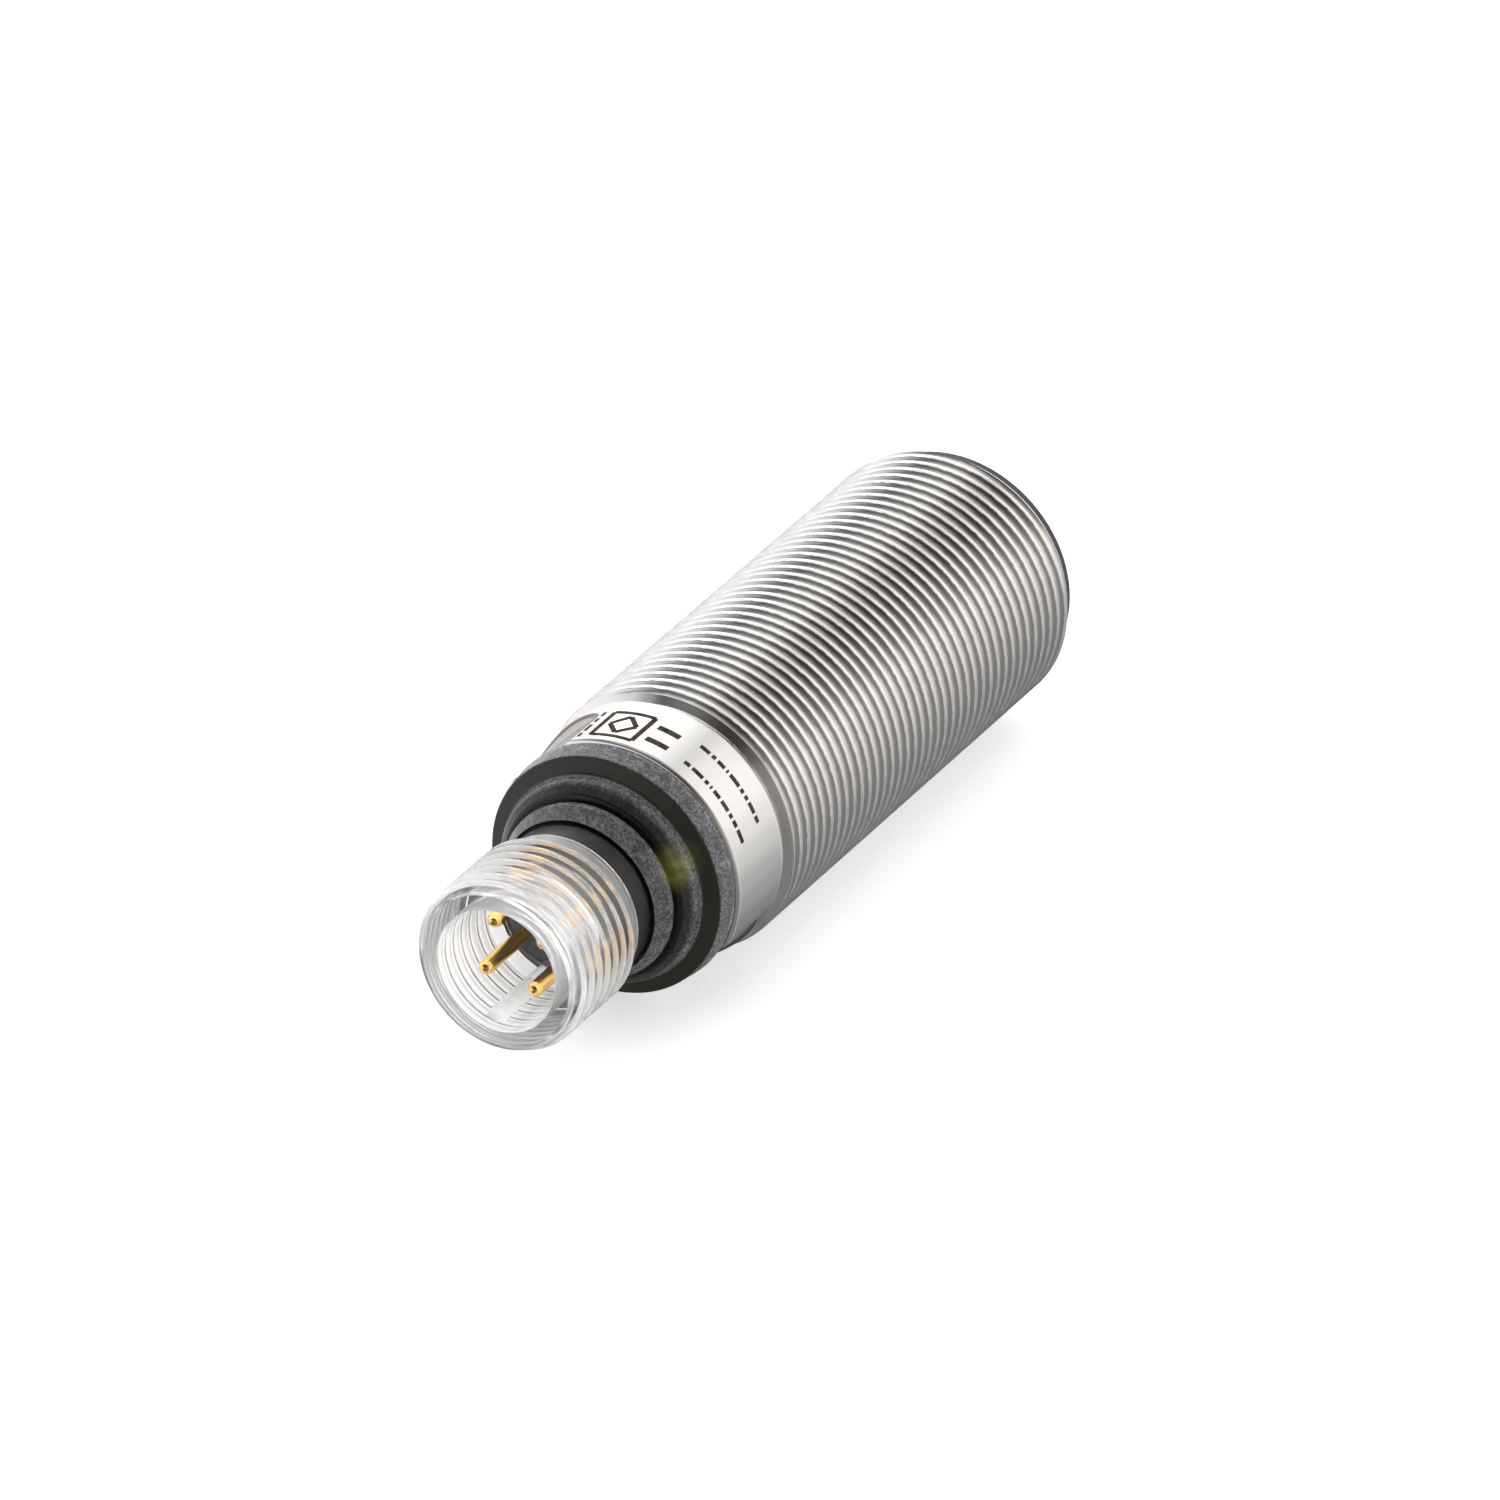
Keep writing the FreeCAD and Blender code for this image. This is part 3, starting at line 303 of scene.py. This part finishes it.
SLOTS = {
    "nickel_plate": nickel,
    "clear_plastic": clear,
    "smoked_plastic": smoked,
    "gold_plate": gold,
    "board_laminate": board,
    "copper": copper,
    "led_resin": lens_resin,
    "bare_brass": metal("bare_brass", (0.74, 0.52, 0.20), (0.84, 0.64, 0.30), (0.15, 0.3), 0.25, 0.004),
    "face_plastic": plain("face_plastic", (0.020, 0.027, 0.038), (0.036, 0.045, 0.060), (0.38, 0.52), 1.2, 0.012),
    "carrier_plastic": plain("carrier_plastic", (0.055, 0.055, 0.062), (0.10, 0.10, 0.11), (0.3, 0.45), 1.5, 0.008),
    "seal_rubber": plain("seal_rubber", (0.010, 0.010, 0.011), (0.022, 0.022, 0.023), (0.6, 0.8), 1.5, 0.015),
    "sleeve_plastic": plain("sleeve_plastic", (0.60, 0.59, 0.55), (0.70, 0.69, 0.65), (0.45, 0.6), 0.6, 0.01,
                            subsurface=0.1),
    "ferrite": plain("ferrite", (0.020, 0.020, 0.022), (0.060, 0.060, 0.064), (0.5, 0.7), 4.0, 0.02),
    "bobbin_plastic": plain("bobbin_plastic", (0.64, 0.61, 0.50), (0.74, 0.71, 0.61), (0.4, 0.55), 0.8, 0.01),
    "potting_resin": plain("potting_resin", (0.010, 0.010, 0.013), (0.030, 0.030, 0.034), (0.12, 0.3), 0.7, 0.02),
    "chip_plastic": plain("chip_plastic", (0.012, 0.012, 0.013), (0.030, 0.030, 0.032), (0.5, 0.65), 5.0, 0.008),
    "capacitor_ceramic": plain("capacitor_ceramic", (0.42, 0.29, 0.16), (0.55, 0.40, 0.25), (0.4, 0.55), 3.0, 0.008),
    "resistor_ceramic": plain("resistor_ceramic", (0.016, 0.016, 0.018), (0.05, 0.05, 0.055), (0.2, 0.35),
                              3.0, 0.005),
    "wire_sheath": plain("wire_sheath", (0.30, 0.022, 0.016), (0.42, 0.040, 0.030), (0.4, 0.55), 1.2, 0.01),
}
for part in frame["record"]["subparts"]:
    assign(nodes[part["node"]], SLOTS[part["material_slot"]])

# ---------------------------------------------------------------- laser marks
BAND_RADIUS = 8.6
LIFT = 0.008
LINE = 0.34
BAR = 0.5
ROW = 0.36
EDGE = 0.24
PLUG_FRONT = -60.0
FACING = 131.36

ink = Surface("laser_mark", specular=0.1)
ink.colour(ink.mix(ink.ramp(ink.noise(2.5, 4), 0.35, 0.65), (0.030, 0.021, 0.017), (0.075, 0.055, 0.043)))
ink.rough(ink.ramp(ink.noise(4.0, 3), 0.3, 0.7, 0.6, 0.8))
ink.bump(ink.noise(10.0, 3), 0.006)


def on_band(station, angle):
    """A point just off the band: millimetres from the plug's front, degrees round the axis from FACING."""
    turn = math.radians(FACING + angle)
    reach = BAND_RADIUS + LIFT
    return (MM * (PLUG_FRONT + station), MM * reach * math.cos(turn), MM * reach * math.sin(turn))


def mark(name, strips):
    """One mark made of strips. A strip runs between two (station, angle) points and has a width in millimetres."""
    points = []
    faces = []
    for (start_station, start_angle), (end_station, end_angle), width in strips:
        arc = math.radians(end_angle - start_angle) * BAND_RADIUS
        run = end_station - start_station
        length = math.hypot(arc, run)
        side_station = 0.5 * width * arc / length
        side_angle = -math.degrees(0.5 * width * run / length / BAND_RADIUS)
        steps = max(1, math.ceil(abs(end_angle - start_angle)))
        for step in range(steps + 1):
            share = step / steps
            station = start_station + share * run
            angle = start_angle + share * (end_angle - start_angle)
            points.append(on_band(station + side_station, angle + side_angle))
            points.append(on_band(station - side_station, angle - side_angle))
            if step:
                last = len(points) - 1
                faces.append((last - 3, last - 2, last, last - 1))
    mesh = bpy.data.meshes.new(name)
    mesh.from_pydata(points, [], faces)
    piece = bpy.data.objects.new(name, mesh)
    bpy.context.scene.collection.objects.link(piece)
    assign(piece, ink)
    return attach(piece, "root")


def loop(corners, width):
    return [(first, second, width) for first, second in zip(corners, corners[1:] + corners[:1])]


def dashes(station, start, pattern, width, gap=1.3):
    """A row of dashes round the band. The pattern gives their lengths in degrees."""
    strips = []
    angle = start
    for length in pattern:
        strips.append(((station, angle), (station, angle + length), width))
        angle += length + gap
    return strips


BOX = (16.2, 19.4, -57.0, -37.5)
middle_station = (BOX[0] + BOX[1]) / 2
middle_angle = (BOX[2] + BOX[3]) / 2
mark("mark_square", loop([(BOX[0], BOX[2]), (BOX[1], BOX[2]), (BOX[1], BOX[3]), (BOX[0], BOX[3])], LINE))
mark("mark_diamond", loop([(BOX[0] + 0.5, middle_angle), (middle_station, BOX[2] + 3.5),
                           (BOX[1] - 0.5, middle_angle), (middle_station, BOX[3] - 3.5)], LINE))
mark("mark_bars", [((station, -33.5), (station, -23.0), BAR) for station in (18.6, 17.0)])
mark("mark_row_rear", dashes(19.1, -14.5, (5, 2, 4, 1, 6, 2, 2, 5, 3), ROW))
mark("mark_row_front", dashes(16.9, -14.0, (3, 6, 2, 1, 4, 5, 2, 3, 6), ROW))
mark("mark_edge", [((start, -62.2), (end, -62.2), EDGE)
                   for start, end in ((15.95, 16.45), (16.8, 17.7), (18.1, 18.6), (18.95, 19.5))])

# ---------------------------------------------------------------- camera
RIGHT = Vector((0.4809, -0.8768, 0.0)).normalized()
FORWARD = Vector((0.7695, 0.4220, -0.4794)).normalized()
UP = RIGHT.cross(FORWARD)
camera_data = bpy.data.cameras.new("camera")
camera = bpy.data.objects.new("camera", camera_data)
bpy.context.scene.collection.objects.link(camera)
camera_data.sensor_width = 36.0
camera_data.lens = 524.3
camera_data.clip_start = 0.05
camera_data.clip_end = 50.0
turn = Matrix((RIGHT, UP, -FORWARD)).transposed().to_4x4()
camera.matrix_world = Matrix.Translation(Vector((-1.0808, -0.5777, 0.6562))) @ turn
bpy.context.scene.camera = camera

# ---------------------------------------------------------------- studio
SIDE = 3.0
FLOOR = cad_low.z
floor_mesh = bpy.data.meshes.new("floor")
corners = [(-SIDE, -SIDE, FLOOR), (SIDE, -SIDE, FLOOR), (SIDE, SIDE, FLOOR), (-SIDE, SIDE, FLOOR)]
floor_mesh.from_pydata(corners, [], [(0, 1, 2, 3)])
floor = bpy.data.objects.new("floor", floor_mesh)
bpy.context.scene.collection.objects.link(floor)
paper = Surface("paper", roughness=0.9, specular=0.1, emission_strength=0.5)
paper.colour(paper.mix(paper.noise(0.02), (0.87, 0.87, 0.87), (0.89, 0.89, 0.89)))
paper.glow((1.0, 1.0, 1.0, 1.0))
assign(floor, paper)
floor.visible_glossy = False


def softbox(name, centre, side, radiance):
    """A square area light that faces the object. The metal sees only the light tent, not the lamps."""
    data = bpy.data.lights.new(name, "AREA")
    data.size = side
    data.energy = radiance * math.pi * side * side
    light = bpy.data.objects.new(name, data)
    bpy.context.scene.collection.objects.link(light)
    light.location = centre
    light.rotation_euler = (-Vector(centre)).to_track_quat("-Z", "Y").to_euler()
    light.visible_glossy = False


softbox("top_light", (0.0, 0.1, 0.95), 1.3, 0.95)
softbox("left_light", (-0.3, 1.0, 0.55), 0.7, 1.1)
softbox("right_light", (-0.5, -1.0, 0.6), 0.7, 1.0)

# The light tent: three rows of panels round the barrel's axis, one behind the plug, one beside the barrel
# and one beyond the sensing face. Each panel is degrees from +Y towards +Z, level and warmth.
TENT = {
    "rear": [(-80, 0.06, 0), (-45, 0.08, 0), (-22, 0.8, 0), (-10, 1.06, 0), (15, 1.0, 0), (24, 0.80, 0),
             (33, 0.42, 0), (41, 0.12, 0.2), (51, 0.19, 0.3), (64, 0.19, 0.4), (78, 0.095, 1), (96, 0.050, 1.6),
             (117, 0.062, 1.6), (140, 0.14, 1.2), (161, 0.25, 0.9), (180, 0.30, 0.7), (196, 0.27, 0.5),
             (220, 0.24, 0.3), (238, 0.22, 0.2), (255, 0.24, 0.2)],
    "middle": [(-60, 0.3, 0), (-35, 0.9, 0), (-15, 1.1, 0), (6, 1.10, 0), (20, 0.94, 0), (35, 0.42, 0),
               (50, 0.27, 0.1), (65, 0.50, 0.1), (80, 0.66, 0.3), (96, 0.38, 0.8), (117, 0.19, 1), (140, 0.32, 1),
               (161, 0.76, 0.9), (180, 0.60, 0.8), (196, 0.38, 0.5), (212, 0.25, 0.3), (235, 0.19, 0.2),
               (270, 0.17, 0.1)],
    "front": [(-90, 0.22, 0.2), (-79, 0.16, 0.2), (-59, 0.11, 0.2), (-37, 0.11, 0), (-30, 1.0, 0), (-10, 1.1, 0),
              (10, 1.15, 0), (30, 1.6, 0), (48, 1.6, 0), (62, 1.25, 0), (81, 1.22, 0), (92, 1.0, 0),
              (101, 0.83, 0), (121, 1.05, 0.3), (141, 1.15, 0.2), (161, 1.12, 0), (181, 0.94, 0.2),
              (201, 0.72, 0.2), (221, 0.50, 0.1), (241, 0.38, 0.1), (261, 0.26, 0.1)],
}
WARM = (1.0, 0.93, 0.87)

world = bpy.data.worlds.new("studio")
bpy.context.scene.world = world
world.use_nodes = True
tree = world.node_tree


def sky(kind, sources=(), **values):
    """A node of the world. Each source is a plain value or the socket that feeds the input."""
    made = tree.nodes.new(kind)
    for key, item in values.items():
        setattr(made, key, item)
    for target, source in zip(made.inputs, sources):
        if isinstance(source, bpy.types.NodeSocket):
            tree.links.new(source, target)
        else:
            target.default_value = source
    return made


direction = sky("ShaderNodeSeparateXYZ", [sky("ShaderNodeTexCoord").outputs["Generated"]])
turned = sky("ShaderNodeMath", [direction.outputs["Y"], direction.outputs["Z"]], operation="ARCTAN2").outputs[0]
share = sky("ShaderNodeMath", [turned, 2 * math.pi], operation="DIVIDE").outputs[0]
around = sky("ShaderNodeMath", [0.5, share], operation="SUBTRACT").outputs[0]


def panels(row):
    """One row of panels as a colour that changes round the barrel's axis."""
    ramp = sky("ShaderNodeValToRGB", [around])
    ramp.color_ramp.interpolation = "EASE"
    stops = [((degrees + 90) / 360, level, warmth) for degrees, level, warmth in TENT[row]]
    elements = ramp.color_ramp.elements
    elements[0].position = stops[0][0]
    elements[1].position = stops[-1][0]
    for place, level, warmth in stops[1:-1]:
        elements.new(place)
    for element, (place, level, warmth) in zip(elements, stops):
        element.color = [level * (1 - warmth + warmth * channel) for channel in WARM] + [1]
    return ramp.outputs["Color"]


def blend(first, second, low, high):
    """Goes from one row of panels to the next as the direction turns towards +X."""
    mixed = sky("ShaderNodeMix", data_type="RGBA")
    turn = sky("ShaderNodeMapRange", [direction.outputs["X"], low, high], interpolation_type="SMOOTHSTEP")
    tree.links.new(turn.outputs["Result"], mixed.inputs["Factor"])
    for target, source in zip([socket for socket in mixed.inputs if socket.type == "RGBA"], (first, second)):
        tree.links.new(source, target)
    return [socket for socket in mixed.outputs if socket.type == "RGBA"][0]


tent = blend(blend(panels("rear"), panels("middle"), -0.85, -0.2), panels("front"), -0.2, 0.45)
# Light that has passed through the clear plug comes from the studio's pale surround.
through = sky("ShaderNodeLightPath").outputs["Is Transmission Ray"]
surround = sky("ShaderNodeMix", data_type="RGBA")
tree.links.new(through, surround.inputs["Factor"])
colours = [socket for socket in surround.inputs if socket.type == "RGBA"]
tree.links.new(tent, colours[0])
colours[1].default_value = (1.9, 1.9, 1.92, 1.0)
lit_by = [socket for socket in surround.outputs if socket.type == "RGBA"][0]
tree.links.new(lit_by, tree.nodes["Background"].inputs["Color"])

# Standard keeps the bright studio's highlights white.
bpy.context.scene.view_settings.view_transform = "Standard"
